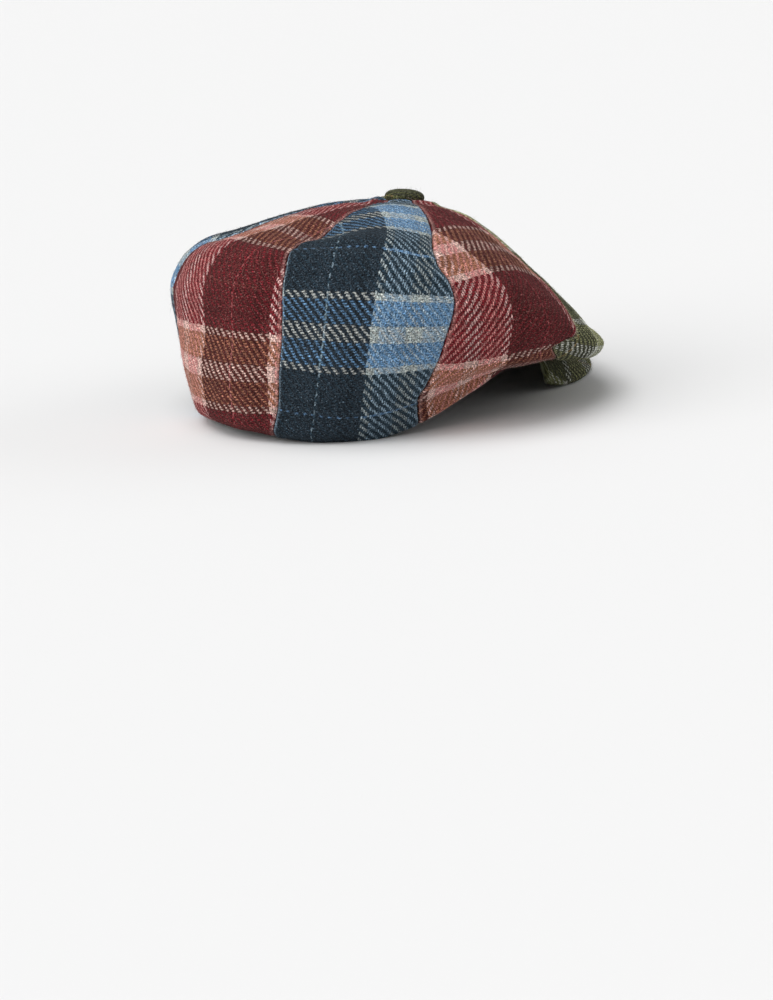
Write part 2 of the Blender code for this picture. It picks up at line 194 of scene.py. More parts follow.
# The weave, a 2/2 twill. Scales are cells for each mm, and reaches are in mm. Levels are heights in the noise
# that keep its uses apart.
WARP_PITCH, WEFT_PITCH = 1.21, 1.43
TWILL_REPEAT, TWILL_TURN = 4.0, 1.5
THREAD_ROUND, THREAD_DIP = 2.6, 0.35
THREAD_TONE = 0.26
THREAD_RELIEF, GRAIN_RELIEF = 0.30, 0.16
# Painted shade: the colour darkens in the gaps between threads and in a seam's groove.
GAP_SHADE, SEAM_SHADE = 0.60, 0.68
SEAM_DARK_REACH = 0.9
# Painted highlight: the ridge beside a seam is lightened and paled towards the fleck colour.
SEAM_HIGHLIGHT, SEAM_HIGHLIGHT_FROM, SEAM_HIGHLIGHT_TO = 0.40, 0.9, 2.6
SEAM_HIGHLIGHT_PALE = 0.40
SWAY_SCALE, SWAY_REACH = 0.12, 1.5
SHAKE_SCALE, SHAKE_REACH = 0.8, 1.3
FRAY_SCALE, FRAY_REACH = 2.6, 0.95
GRAIN_SCALES = (2.6, 0.8)
NOISE_LOW, NOISE_HIGH = 0.3, 0.7
NOISE_DETAIL, SHAKE_DETAIL, GRAIN_DETAIL = 2.0, 1.0, 3.0
WARP_LEVEL, WEFT_LEVEL, PATCH_LEVEL, SPECKLE_LEVEL, FLECK_LEVEL = 0.0, 5.0, 0.0, 4.0, 9.0
WARP_SEED, WEFT_SEED = 7.0, 3.0
MELANGE_DARK, MELANGE_LIGHT = 0.20, 1.90
SPECKLE_SCALE, SPECKLE_TONE = 1.0, 0.85
PATCH_SCALE, PATCH_TONE = 0.05, 0.08
FLECK_SCALE, FLECK_FROM, FLECK_SPREAD, FLECK_SHARE = 1.0, 0.60, 0.08, 0.34
CLOTH_ROUGHNESS, CLOTH_SPECULAR = 1.0, 0.05
SHEEN, SHEEN_ROUGHNESS = 0.02, 0.6

# Felting: how far the darker of two crossing threads covers the one on top, at its low edges and its crown
FELTED_EDGE, FELTED_CROWN = 1.0, 0.12
FELT_LOW, FELT_HIGH = 0.45, 0.90

# Loose fibres that stand off the brushed cloth, with lengths in mm and counts for each square mm. A ribbon's
# corners are a share along the fibre and a side of it.
FIBRE_COUNT, FIBRE_COUNT_SEEN = 0.16, 0.55
FIBRE_LENGTH, FIBRE_LENGTH_SPREAD = 1.5, 0.45
FIBRE_WIDTH = 0.07
RIBBON = ((0.0, 1), (0.0, -1), (0.5, -1), (0.5, 1), (1.0, 0))
FIBRE_RISE = (0.05, 0.55)
FIBRE_BEND = 0.45
FIBRE_TONES = (0.55, 1.9)
FIBRE_PALE = 0.25

# The plaid: the colour of each stripe and its width across the warp and down the weft. A cloth has its warp's
# colours, its weft's colours and the colour of its flecks.
STRIPE_COLOURS = ("ground", "line", "light", "colour")
STRIPES = ("ground", "line", "ground", "light", "colour", "light", "colour", "light")
WARP_WIDTHS = (25.6, 1.2, 25.6, 3.8, 15.0, 9.5, 15.0, 4.8)
WEFT_WIDTHS = (25.4, 1.5, 25.4, 4.3, 15.0, 9.6, 15.0, 4.3)
CLOTHS = dict(
    navy=(((0.017, 0.024, 0.032), (0.13, 0.17, 0.20), (0.35, 0.40, 0.41), (0.22, 0.30, 0.37)),
          ((0.018, 0.033, 0.047), (0.10, 0.19, 0.32), (0.39, 0.40, 0.38), (0.11, 0.22, 0.37)),
          (0.20, 0.27, 0.33)),
    wine=(((0.072, 0.017, 0.015), (0.20, 0.06, 0.06), (0.72, 0.47, 0.44), (0.50, 0.215, 0.20)),
          ((0.143, 0.013, 0.018), (0.17, 0.026, 0.03), (0.54, 0.37, 0.32), (0.30, 0.125, 0.075)),
          (0.40, 0.24, 0.215)),
    olive=(((0.040, 0.042, 0.026), (0.16, 0.11, 0.05), (0.44, 0.45, 0.41), (0.24, 0.25, 0.17)),
           ((0.085, 0.090, 0.036), (0.28, 0.24, 0.10), (0.46, 0.47, 0.42), (0.25, 0.255, 0.12)),
           (0.33, 0.32, 0.22)),
)

# The view, measured in the worn cap: where the camera stands, and what its middle looks at
VIEW_AZIMUTH = 125.5
VIEW_ELEVATION = 10.7
VIEW_DISTANCE = 3400.0
VIEW_RIGHT, VIEW_DOWN = 6.3, 50.2
LENS, SENSOR = 214.7, 36.0
CLIP_NEAR, CLIP_FAR = 0.05, 60.0

FLOOR_SIZE = 14.0
FLOOR_COLOUR = (0.745, 0.745, 0.745)
FLOOR_ROUGHNESS, FLOOR_SPECULAR = 0.9, 0.2

# Each light's azimuth, elevation, spread across the sky and strength. Azimuth 0 is in front of the peak, as
# a view's is, and the angles are in degrees.
SUNS = (
    ("key", 176, 38, 55, 1.75),
    ("top", 165, 76, 45, 1.45),
    ("low", 165, 10, 70, 0.45),
    ("front", 332, 11, 60, 1.00),
)
WORLD_COLOUR = (1.0, 1.0, 1.0)
WORLD_STRENGTH = 0.36


def cos_sin(degrees):
    """The cosine and the sine of an angle in degrees."""
    angle = math.radians(degrees)
    return math.cos(angle), math.sin(angle)


def unit(vectors):
    """Vectors scaled to length 1."""
    return vectors / np.linalg.norm(vectors, axis=-1, keepdims=True)


def mix(low, high, share):
    """A value at a share of the way from one to the other."""
    return low * (1 - share) + high * share


def eased(share):
    """A share from 0 to 1 with a soft start and end."""
    return share * share * (3 - 2 * share)


def ring_value(name, column):
    """One named column of a ring's row."""
    return RINGS[name][RING_COLUMNS.index(column)]


def down_rings(column):
    """A column of the ring table going down, with 0 for the apex first."""
    return [0.0] + [ring_value(name, column) for name in RINGS]


def even_series(values, angles):
    """A smooth closed curve, the same on both sides, through values at even steps from 0 to 180 degrees."""
    steps = len(values) - 1
    places = np.arange(steps + 1)
    weights = np.ones(steps + 1)
    weights[[0, -1]] = 0.5
    total = 0.0
    for wave in range(steps + 1):
        share = 2.0 / steps * np.sum(weights * values * np.cos(math.pi * wave * places / steps))
        if wave in (0, steps):
            share *= 0.5
        total = total + share * np.cos(wave * angles)
    return total


def ring_points(name, angles):
    """The points of one ring at the given angles from the front, in radians."""
    reach = even_series(np.array(ring_value(name, "reach"), float), angles)
    height = even_series(np.array(ring_value(name, "height"), float), angles)
    rearward = (1 - np.cos(angles)) / 2
    height = height + CROWN_LEAN * ring_value(name, "lean") * reach * np.sin(angles) * rearward
    forward = ring_value(name, "middle") + reach * np.cos(angles)
    return np.stack([forward, reach * np.sin(angles), height], -1)


def stand(points):
    """Pitches worn points forward onto the floor."""
    cos, sin = cos_sin(REST_PITCH)
    forward = points[..., 0] - PIVOT_FORWARD
    height = points[..., 2]
    turned = [PIVOT_FORWARD + forward * cos + height * sin, points[..., 1], height * cos - forward * sin]
    return np.stack(turned, -1)


def to_scene(points):
    """Standing points in mm to the scene's axes in metres."""
    turned = np.stack([-points[..., 1], -points[..., 0], points[..., 2]], -1)
    return (turned + np.array(SHIFT)) * MM


def seam_angle(panel, level):
    """The angle, in degrees, of the seam at the far side of a panel."""
    rows = list(PANELS.values())
    turns, row = divmod(panel, len(rows))
    return np.interp(level, SEAM_LEVELS, rows[row]) + 360 * turns


def panel_angles(panel, level, across):
    """The angles, in degrees, at shares across a panel on one seam level."""
    near = seam_angle(panel - 1, level)
    far = seam_angle(panel, level)
    return near + (far - near) * across


def panel_rings(panel, across):
    """The panel's ring points, from the apex down, at shares across it from its near seam to its far one."""
    apex = np.array([APEX_FORWARD, 0.0, APEX_HEIGHT])
    rings = [np.tile(apex, (len(across), 1))]
    for name in RINGS:
        angles = panel_angles(panel, ring_value(name, "level"), across)
        rings.append(ring_points(name, np.radians(angles)))
    return np.array(rings)


def curve_between(line, knots, share):
    """A place between the middle two of four points, on the smooth curve that meets them at their knots."""
    here = knots[1] + (knots[2] - knots[1]) * share
    blend = list(line)
    for pairs in CURVE_BLENDS:
        for i, (low, high) in enumerate(pairs):
            part = (here - knots[low]) / (knots[high] - knots[low])
            blend[i] = mix(blend[i], blend[i + 1], part)
    return blend[0]


def curve_down(rings, ring, share):
    """A point row between two rings, on the centripetal curve through the rings around them."""
    above = 2 * rings[0] - rings[1]
    above[:, 2] = rings[1][:, 2]
    below = 2 * rings[-1] - rings[-2]
    line = np.concatenate([above[None], rings, below[None]])[ring:ring + 4]
    steps = np.sqrt(np.linalg.norm(np.diff(line, axis=0), axis=-1))
    knots = np.concatenate([np.zeros((1, steps.shape[1])), np.cumsum(steps, 0)])[..., None]
    return curve_between(line, knots, share)


def row_places(splits, last_share):
    """The ring and the share below it of every row, from just below the apex to a share of the last ring."""
    places = []
    for ring, name in enumerate(RINGS):
        rows = ring_value(name, "rows") * splits
        for row in range(rows):
            share = row / rows
            if ring == 0:
                share = FIRST_ROW_SHARE + (1 - FIRST_ROW_SHARE) * share
            if ring == len(RINGS) - 1:
                share *= last_share
            places.append((ring, share))
    places.append((len(RINGS) - 1, last_share))
    return places


def puff_height(angles, ring):
    """How far the puffs and dents move the cloth at angles in degrees on one ring number."""
    height = np.zeros_like(angles)
    for angle, place, wide, tall, high in PUFFS:
        off = (angles - angle + 180) % 360 - 180
        height += high * np.exp(-(off / wide) ** 2 - ((ring - place) / tall) ** 2)
    return height


def fold_height(angles, rings):
    """How far the folds move the cloth at angles in degrees on ring numbers."""
    height = np.zeros_like(angles)
    for first_angle, first_ring, last_angle, last_ring, tall, high in FOLDS:
        share = (angles - first_angle) / (last_angle - first_angle)
        line = first_ring + (last_ring - first_ring) * share
        fade = eased(np.clip(np.minimum(share, 1 - share) / FOLD_ENDS, 0, 1))
        height += high * fade * np.exp(-((rings - line) / tall) ** 2)
    return height


def outward_normals(grid):
    """Unit normals of a grid of points whose rows run down and whose columns run to the wearer's right."""
    down = np.gradient(grid, axis=0)
    across = np.gradient(grid, axis=1)
    return unit(np.cross(down, across))


def crowded(count):
    """Shares from 0 to 1, closer together near both ends."""
    even = np.linspace(0, 1, count + 1)
    return (1 - EDGE_CROWDING) * even + EDGE_CROWDING * (1 - np.cos(math.pi * even)) / 2


def smooth_panel(panel, across, splits, last_share=1.0):
    """The panel's outer points before its fine form, their normals and angles, and each row's ring number."""
    beyond = across[1] - across[0]
    wide = np.concatenate([[across[0] - beyond], across, [across[-1] + beyond]])
    rings = panel_rings(panel, wide)
    places = row_places(splits, last_share)
    smooth = np.array([curve_down(rings, ring, share) for ring, share in places])
    normals = outward_normals(smooth)[:, 1:-1]
    outer = smooth[:, 1:-1]
    levels, dips = down_rings("level"), down_rings("dip")
    edge = np.abs(2 * across - 1) ** SEAM_SHARPNESS
    numbers = np.array([ring + share for ring, share in places])
    angles = np.zeros(outer.shape[:2])
    for row, number in enumerate(numbers):
        level = np.interp(number, range(len(levels)), levels)
        angles[row] = panel_angles(panel, level, across)
        move = puff_height(angles[row], number)
        move -= np.interp(number, range(len(dips)), dips) * edge
        outer[row] += normals[row] * move[:, None]
    return outer, normals, angles, numbers


def running_length(grid, axis):
    """The length from the grid's first row or column to each point, along the axis."""
    steps = np.linalg.norm(np.diff(grid, axis=axis), axis=-1)
    start = np.zeros_like(np.take(steps, [0], axis=axis))
    return np.cumsum(np.concatenate([start, steps], axis=axis), axis=axis)


def flatten(grid):
    """The flat cut of a curved panel, laid on a plane so that lengths change as little as can be."""
    rows, columns = grid.shape[:2]
    middle = columns // 2
    across = running_length(grid, 1)
    across = across - across[:, [middle]]
    down = np.repeat(running_length(grid, 0)[:, [middle]], columns, axis=1)
    flat = np.stack([-across, down], -1).reshape(-1, 2)
    number = np.arange(rows * columns).reshape(rows, columns)
    pairs = ((number[:-1], number[1:]), (number[:, :-1], number[:, 1:]),
             (number[:-1, :-1], number[1:, 1:]), (number[:-1, 1:], number[1:, :-1]))
    first = np.concatenate([a.ravel() for a, b in pairs])
    second = np.concatenate([b.ravel() for a, b in pairs])
    points = grid.reshape(-1, 3)
    wanted = np.linalg.norm(points[first] - points[second], axis=1)
    uses = np.bincount(first, minlength=len(points)) + np.bincount(second, minlength=len(points))
    for _ in range(FLATTEN_SWEEPS):
        step = flat[second] - flat[first]
        length = np.linalg.norm(step, axis=1)
        pull = step * ((length - wanted) / length / 2)[:, None]
        move = np.zeros_like(flat)
        for axis in (0, 1):
            move[:, axis] = (np.bincount(first, pull[:, axis], len(points))
                             - np.bincount(second, pull[:, axis], len(points)))
        flat = flat + move / uses[:, None] * FLATTEN_PULL
    flat = flat.reshape(rows, columns, 2)
    up = flat[0, middle] - flat[-1, middle]
    up = up / np.linalg.norm(up)
    turned = flat - flat[-1, middle]
    return np.stack([turned[..., 0] * -up[1] + turned[..., 1] * up[0],
                     -(turned[..., 0] * up[0] + turned[..., 1] * up[1])], -1)


def sample_grid(grid, row_shares, column_shares):
    """A grid's values between its points, at shares down it and across it."""
    rows, columns = grid.shape[:2]
    down = np.clip(row_shares, 0, 1) * (rows - 1)
    over = np.clip(column_shares, 0, 1) * (columns - 1)
    i = np.minimum(down.astype(int), rows - 2)
    j = np.minimum(over.astype(int), columns - 2)
    return between(grid, i[:, None], j, (down - i)[:, None, None], (over - j)[:, None])


def lattice_hash(x, y, seed):
    """A fixed scatter of numbers from 0 to 1 over whole-numbered places."""
    mixed = x.astype(np.int64) * HASH_X + y.astype(np.int64) * HASH_Y + seed * HASH_SEED
    mixed = mixed & HASH_BITS
    first, second = HASH_SHIFTS
    mixed = ((mixed ^ (mixed >> first)) * HASH_MIX) & HASH_BITS
    return ((mixed ^ (mixed >> second)) & HASH_TOP) / HASH_TOP


def soft_noise(x, y, seed):
    """Smooth hills and hollows from -1 to 1, about one unit of x or y across."""
    i, j = np.floor(x), np.floor(y)
    corners = [[lattice_hash(i + di, j + dj, seed) for di in (0, 1)] for dj in (0, 1)]
    top, low = [mix(*pair, eased(x - i)) for pair in corners]
    return 2 * mix(top, low, eased(y - j)) - 1


def undulation(x, y, offset, seed):
    """The soft hills and hollows of the cloth, in mm."""
    height = np.zeros_like(x)
    for number, (length, rise) in enumerate(UNDULATIONS):
        height += rise * soft_noise(x / length + offset, y / length, seed + number)
    return height


def fine_height(flat, distance, width, deep, seed):
    """The fine form of the sewn cloth: soft undulation, puckers, the seam's ridge and its groove."""
    x, y = flat[..., 0], flat[..., 1]
    first_seed = seed * SEEDS_A_PANEL
    height = undulation(x, y, UNDULATION_OFFSET * seed, first_seed)
    near = np.exp(-distance / PUCKER_REACH)
    places = y / PUCKER_LENGTH, x / PUCKER_SPAN + PUCKER_OFFSET * seed
    height += PUCKER_HEIGHT * near * soft_noise(*places, first_seed + PUCKER_SEED)
    room = np.minimum(width / NARROW_PANEL, 1.0)
    height += RIDGE_HEIGHT * room * np.exp(-((distance - RIDGE_PLACE) / RIDGE_WIDTH) ** 2)
    height -= GROOVE_DEPTH * room * np.exp(-(distance / GROOVE_WIDTH) ** GROOVE_POWER)
    height *= np.clip((deep - CALM_UNDER_BUTTON) / CALM_UNDER_BUTTON, 0, 1)
    return height + COLLAR_HEIGHT * np.exp(-((deep - COLLAR_PLACE) / COLLAR_WIDTH) ** 2)


def settle(grid):
    """Stands a grid on the floor, with the hem pressed flat where it would sink in."""
    standing = stand(grid)
    standing[..., 2] = np.maximum(standing[..., 2] + HEM_DROP, 0.0)
    return standing


def cut_panel(panel, numbers, across):
    """A panel's flat cut in coarse steps, and the flat places of its fine rows and columns."""
    rough, _, _, rough_numbers = smooth_panel(panel, np.linspace(0, 1, FLAT_COLUMNS + 1), 1)
    cut_flat = flatten(rough)
    row_shares = np.interp(numbers, rough_numbers, np.linspace(0, 1, len(rough_numbers)))
    return cut_flat, sample_grid(cut_flat, row_shares, across)


def crown_panel(panel, name):
    """One crown panel: a closed shell of cloth with turned-in seam edges and a rolled hem."""
    seen = name in SEEN_PANELS
    splits = SEEN_ROW_SPLITS if seen else OTHER_ROW_SPLITS
    across = crowded(SEEN_COLUMNS if seen else OTHER_COLUMNS)
    outer, normals, angles, numbers = smooth_panel(panel, across, splits, HEM_ROLL_SHARE)
    cut_flat, flat = cut_panel(panel, numbers, across)
    over = running_length(outer, 1)
    width = over[:, [-1]]
    distance = np.minimum(over, width - over)
    inward = inward_at_hem(outer, normals, numbers)
    inner = outer + inward * CLOTH_THICK
    deep = running_length(outer, 0)
    height = fine_height(flat, distance, width, deep, panel + 1)
    height += fold_height(angles, numbers[:, None])
    outer = outer + normals * height[..., None]
    for grid in (outer, inner):
        trim_seams(grid)
    coat, coat_flat = settle(outer), flat
    outer, flat, distance = roll_hem(outer, inner, flat, distance)
    outer, inner = settle(outer), settle(inner)
    rows = stepped(len(inner), INNER_STEP)[:-1]
    columns = stepped(inner.shape[1], INNER_STEP)
    points, faces = shell(outer, inner[rows][:, columns], rows, columns)
    flat = np.concatenate([flat.reshape(-1, 2), flat[rows][:, columns].reshape(-1, 2)])
    distance = np.concatenate([distance.ravel(), distance[rows][:, columns].ravel()])
    piece = make_piece("panel_" + name, points, faces, flat, distance, CUTS[name])
    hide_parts("crown_panel_" + name)
    count = FIBRE_COUNT_SEEN if seen else FIBRE_COUNT
    fibres = loose_fibres("fibres_" + name, coat, outward_normals(coat), coat_flat, CUTS[name], count,
                          panel)


def inward_at_hem(outer, normals, numbers):
    """The direction through the cloth, which turns level towards the hem."""
    level = unit(-outer * [1, 1, 0])
    hem_share = np.clip(numbers - (len(RINGS) - 1), 0, 1)[:, None, None]
    return unit(mix(-normals, level, hem_share))


def trim_seams(grid):
    """Takes half the gap off each seam edge of a grid."""
    for edge, beside in ((0, 1), (-1, -2)):
        grid[:, edge] += unit(grid[:, beside] - grid[:, edge]) * SEAM_GAP / 2


def roll_hem(outer, inner, flat, distance):
    """Adds the rows that roll the cloth under at the hem, with their flat places and seam distances."""
    down = unit(outer[-1] - outer[-3])
    half = (inner[-1] - outer[-1]) / 2
    shares = np.arange(1, ROLL_STEPS + 1)[:, None, None] / ROLL_STEPS
    angles = math.pi * shares
    rolls = outer[-1] + half * (1 - np.cos(angles)) + down * np.sin(angles) * CLOTH_THICK / 2
    roll_flat = flat[-1] + shares * [0, math.pi * CLOTH_THICK / 2]
    edges = np.repeat(distance[-1:], ROLL_STEPS, axis=0)
    pairs = (outer, rolls), (flat, roll_flat), (distance, edges)
    return [np.concatenate(pair) for pair in pairs]


def grid_quads(rows, columns, start):
    """Quads over a grid of points numbered from start."""
    corner = start + np.arange(rows - 1)[:, None] * columns + np.arange(columns - 1)
    quads = np.stack([corner, corner + columns, corner + columns + 1, corner + 1], -1)
    return quads.reshape(-1, 4)


def stepped(count, step):
    """Every step-th number below count, and always the last one."""
    picked = list(range(0, count, step))
    if picked[-1] != count - 1:
        picked.append(count - 1)
    return picked


def stitch(fine, coarse, picked, turned=False):
    """Faces between a fine edge and a coarse one with a point beside each picked point of the fine one."""
    faces = []
    for i in range(len(picked) - 1):
        band = fine[picked[i]:picked[i + 1] + 1]
        if turned:
            faces.append([*band[::-1], coarse[i], coarse[i + 1]])
        else:
            faces.append([*band, coarse[i + 1], coarse[i]])
    return faces


def shell(outer, inner, rows, columns):
    """A closed shell of a fine outer grid, whose last row lies on the inner face, and a coarse inner one."""
    points = np.concatenate([outer.reshape(-1, 3), inner.reshape(-1, 3)])
    fine = np.arange(outer.shape[0] * outer.shape[1]).reshape(outer.shape[:2])
    coarse = fine.size + np.arange(inner.shape[0] * inner.shape[1]).reshape(inner.shape[:2])
    faces = grid_quads(*fine.shape, 0)[:, ::-1].tolist() + grid_quads(*coarse.shape, fine.size).tolist()
    faces += stitch(fine[0], coarse[0], columns, turned=True)
    faces += stitch(fine[-1], coarse[-1], columns)
    faces += stitch(fine[:, 0], coarse[:, 0], rows)
    faces += stitch(fine[:, -1], coarse[:, -1], rows, turned=True)
    faces.append([*fine[rows[-1]:, 0], coarse[-1, 0]])
    faces.append([*fine[rows[-1]:, -1][::-1], coarse[-1, -1]])
    return points, faces


def add_object(name, data):
    """A new object in the scene."""
    made = bpy.data.objects.new(name, data)
    bpy.context.scene.collection.objects.link(made)
    return made


def make_piece(name, points, faces, flat, distance, cut, loose=False):
    """A piece that carries its places on the cloth and, in mm, its distance to a seam, or a fibre's tone."""
    mesh = bpy.data.meshes.new(name)
    mesh.from_pydata(to_scene(points).tolist(), [], [list(map(int, face)) for face in faces])
    x, y = place_on_cloth(flat, cut)
    places = np.stack([x, y, distance], -1).astype(np.float32)
    mesh.attributes.new("cloth", "FLOAT_VECTOR", "POINT").data.foreach_set("vector", places.ravel())
    mesh.polygons.foreach_set("use_smooth", [True] * len(mesh.polygons))
    if enclosed(mesh) < 0:
        mesh.flip_normals()
    mesh.materials.append(cloth_look(cut[CUT_COLUMNS.index("cloth")], loose))
    mesh.update()
    piece = add_object(name, mesh)
    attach(piece, "root")
    return piece


def between(grid, rows, columns, down, over):
    """Values inside the cells of a grid, at shares down and over each cell."""
    top = mix(grid[rows, columns], grid[rows, columns + 1], over)
    low = mix(grid[rows + 1, columns], grid[rows + 1, columns + 1], over)
    return mix(top, low, down)


def loose_fibres(name, grid, normals, flat, cut, count, seed):
    """Short bent fibres that stand off the cloth, as thin ribbons that taper to a point."""
    chance = np.random.default_rng(seed)
    sides = np.diff(grid, axis=0)[:, :-1], np.diff(grid, axis=1)[:-1]
    area = np.linalg.norm(np.cross(*sides), axis=-1)
    number = int(area.sum() * count)
    corners = len(RIBBON)
    cells = chance.choice(area.size, number, p=(area / area.sum()).ravel())
    rows, columns = np.divmod(cells, area.shape[1])
    down, over = chance.random((2, number, 1))
    root = between(grid, rows, columns, down, over)
    normal = unit(between(normals, rows, columns, down, over))
    place = between(flat, rows, columns, down, over)
    ahead = unit(sides[1][rows, columns])
    beside = np.cross(normal, ahead)
    turn = chance.uniform(0, 2 * math.pi, (number, 1))
    along = ahead * np.cos(turn) + beside * np.sin(turn)
    aside = beside * np.cos(turn) - ahead * np.sin(turn)
    length = FIBRE_LENGTH * np.exp(chance.normal(0, FIBRE_LENGTH_SPREAD, (number, 1)))
    rise = chance.uniform(*FIBRE_RISE, (number, 1))
    bend = chance.normal(0, FIBRE_BEND, (number, 1))
    roll = chance.uniform(0, math.pi, (number, 1))
    half = (aside * np.cos(roll) + normal * np.sin(roll)) * FIBRE_WIDTH / 2
    points = []
    for share, side in RIBBON:
        middle = root + (along * share + aside * bend * share ** 2 + normal * rise * share) * length
        points.append(middle + half * side)
    points = np.stack(points, 1).reshape(-1, 3)
    points[:, 2] = np.maximum(points[:, 2], 0.0)
    corner = corners * np.arange(number)[:, None]
    faces = (corner + [0, 1, 2, 3]).tolist() + (corner + [3, 2, 4]).tolist()
    tone = np.repeat(chance.random(number), corners)
    return make_piece(name, points, faces, np.repeat(place, corners, axis=0), tone, cut, loose=True)


def enclosed(mesh):
    """The volume that a mesh encloses, below nothing when its faces look inward."""
    mesh.calc_loop_triangles()
    corners = np.zeros(len(mesh.loop_triangles) * 3, np.int32)
    mesh.loop_triangles.foreach_get("vertices", corners)
    points = np.zeros(len(mesh.vertices) * 3)
    mesh.vertices.foreach_get("co", points)
    a, b, c = points.reshape(-1, 3)[corners.reshape(-1, 3)].transpose(1, 0, 2)
    return np.sum(a * np.cross(b, c)) / 6


def place_on_cloth(flat, cut):
    """Where a piece's flat places lie on the woven cloth, by how the piece was cut from it."""
    _, face, lean, drop, bend, slip, across, down = cut
    bent = bend * BEND_SCALE * np.maximum(-flat[..., 1] - BEND_FROM, 0) ** 2
    slipped = slip * np.clip((-flat[..., 1] - SLIP_FROM) / SLIP_LENGTH, 0, 1)
    x = flat[..., 0] * face + flat[..., 1] * lean + across + bent + slipped
    return x, flat[..., 1] + flat[..., 0] * drop + down


def softened(places, table_places, table_values):
    """A value between the rows of a short table, without kinks at the rows."""
    total = 0.0
    for offset in PEAK_SOFTENING:
        total = total + np.interp(np.abs(places + offset), table_places, table_values)
    return total / len(PEAK_SOFTENING)


def peak_outline(shares, lift):
    """The peak's outer edge, standing, at shares from its middle to its ends."""
    sweep = np.radians(PEAK_CIRCLE_SWEEP) * shares
    forward = PEAK_CIRCLE_FORWARD + PEAK_CIRCLE_RADIUS * np.cos(sweep)
    right = PEAK_CIRCLE_RADIUS * np.sin(sweep)
    cos, sin = cos_sin(PEAK_YAW)
    flat = np.stack([forward * cos - right * sin, forward * sin + right * cos, 0 * forward], -1)
    edge = stand(flat)
    edge[:, 2] = softened(shares, PEAK_EDGE_SHARE, PEAK_EDGE_HEIGHT) + lift
    return edge


def peak_section(lift):
    """Rows of points round the peak's section, from its root over the top and the nose to its underside."""
    shares = np.linspace(-PEAK_END_SHARE, PEAK_END_SHARE, PEAK_STEPS + 1)
    angles = np.radians(PEAK_YAW + PEAK_HALF_ANGLE * shares)
    root = stand(ring_points("hem", angles))
    root[:, 2] += HEM_DROP - PEAK_GAP
    edge = peak_outline(shares, lift + PEAK_THICK)
    outward = unit(root[:, :2])
    width = np.sum((edge - root)[:, :2] * outward, axis=1)
    edge[:, :2] += outward * np.maximum(PEAK_END_WIDTH - width, 0)[:, None]
    depth = np.linspace(0, 1, PEAK_DEPTH_STEPS + 1)[:, None, None]
    top = root + (edge - root) * depth
    top[..., 2] += PEAK_BOW * np.sin(math.pi * depth[..., 0])
    under = top - outward_normals(top) * PEAK_THICK
    outward = unit(top[-1] - top[-2])
    turn = math.pi * np.arange(1, PEAK_NOSE_STEPS)[:, None, None] / PEAK_NOSE_STEPS
    down = (1 - np.cos(turn)) / 2
    seam = 1 - PEAK_SEAM_SINK * np.exp(-((turn - PEAK_SEAM_PLACE) / PEAK_SEAM_WIDTH) ** 2)
    nose = mix(top[-1], under[-1], down) + outward * PEAK_NOSE_REACH * np.sin(turn) * seam
    return np.concatenate([top, nose, under[::-1]])


def peak_flat(section, deep):
    """The flat places of the peak's cover, which runs out from the root and on round the nose."""
    outward = unit((section[PEAK_DEPTH_STEPS] - section[0])[:, :2])
    places = section[0, :, :2] + outward * deep[..., None]
    return np.stack([-places[..., 1], -places[..., 0]], -1)


def end_faces(loop):
    """Faces that close a section, given as its point numbers in turn, from one side across to the other."""
    faces = []
    for i in range(len(loop) // 2):
        corners = (loop[i], loop[i + 1], loop[-2 - i], loop[-1 - i])
        faces.append(list(dict.fromkeys(corners)))
    return faces


def peak_piece():
    """The covered peak."""
    lift = 0.0
    for _ in range(PEAK_LIFT_PASSES):
        lift -= peak_section(lift)[..., 2].min()
    section = peak_section(lift)
    number = np.arange(section[..., 0].size).reshape(section.shape[:2])
    after = np.roll(number, -1, axis=0)
    quads = np.stack([number[:, :-1], number[:, 1:], after[:, 1:], after[:, :-1]], -1)
    faces = quads.reshape(-1, 4).tolist()
    faces += end_faces(number[:, 0].tolist())
    faces += end_faces(number[::-1, -1].tolist())
    deep = running_length(section, 0)
    over = running_length(section, 1)
    middle = over[:, [over.shape[1] // 2]]
    rise = PEAK_CALM * undulation(middle - over, deep, 0.0, PEAK_SEED)
    section[..., 2] += rise * np.sin(math.pi * np.clip(deep / deep[-1], 0, 1))
    section[..., 2] = np.maximum(section[..., 2], 0.0)
    distance = np.full(section[..., 0].size, FAR_FROM_SEAM)
    flat = peak_flat(section, deep)
    points = section.reshape(-1, 3)
    piece = make_piece("peak_cover", points, faces, flat.reshape(-1, 2), distance, PEAK_CUT)
    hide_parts("peak")
    covered = PEAK_DEPTH_STEPS + PEAK_NOSE_STEPS
    normals = outward_normals(section)
    fibres = loose_fibres("fibres_peak", section[:covered], normals[:covered], flat[:covered], PEAK_CUT,
                          FIBRE_COUNT_SEEN, len(PANELS))


def button_seat():
    """The middle of the button's foot and its axis: square on the cloth under it and just above it."""
    grids = []
    for number in range(len(PANELS)):
        outer, _, _, _ = smooth_panel(number, np.linspace(0, 1, SOURCE_COLUMNS), 1)
        grids.append(settle(outer).reshape(-1, 3))
    cloth = np.concatenate(grids)
    middle = stand(np.array([APEX_FORWARD, 0.0, APEX_HEIGHT]))
    widest = max(radius for radius, _ in BUTTON_PROFILE)
    off = cloth - middle
    under = cloth[np.hypot(off[:, 0], off[:, 1]) < widest + BUTTON_MARGIN]
    sides = np.column_stack([under[:, :2] - middle[:2], np.ones(len(under))])
    slopes, _, _, _ = np.linalg.lstsq(sides, under[:, 2], rcond=None)
    axis = unit(np.array([-slopes[0], -slopes[1], 1.0]))
    return middle + axis * (((under - middle) @ axis).max() + PIECE_GAP), axis


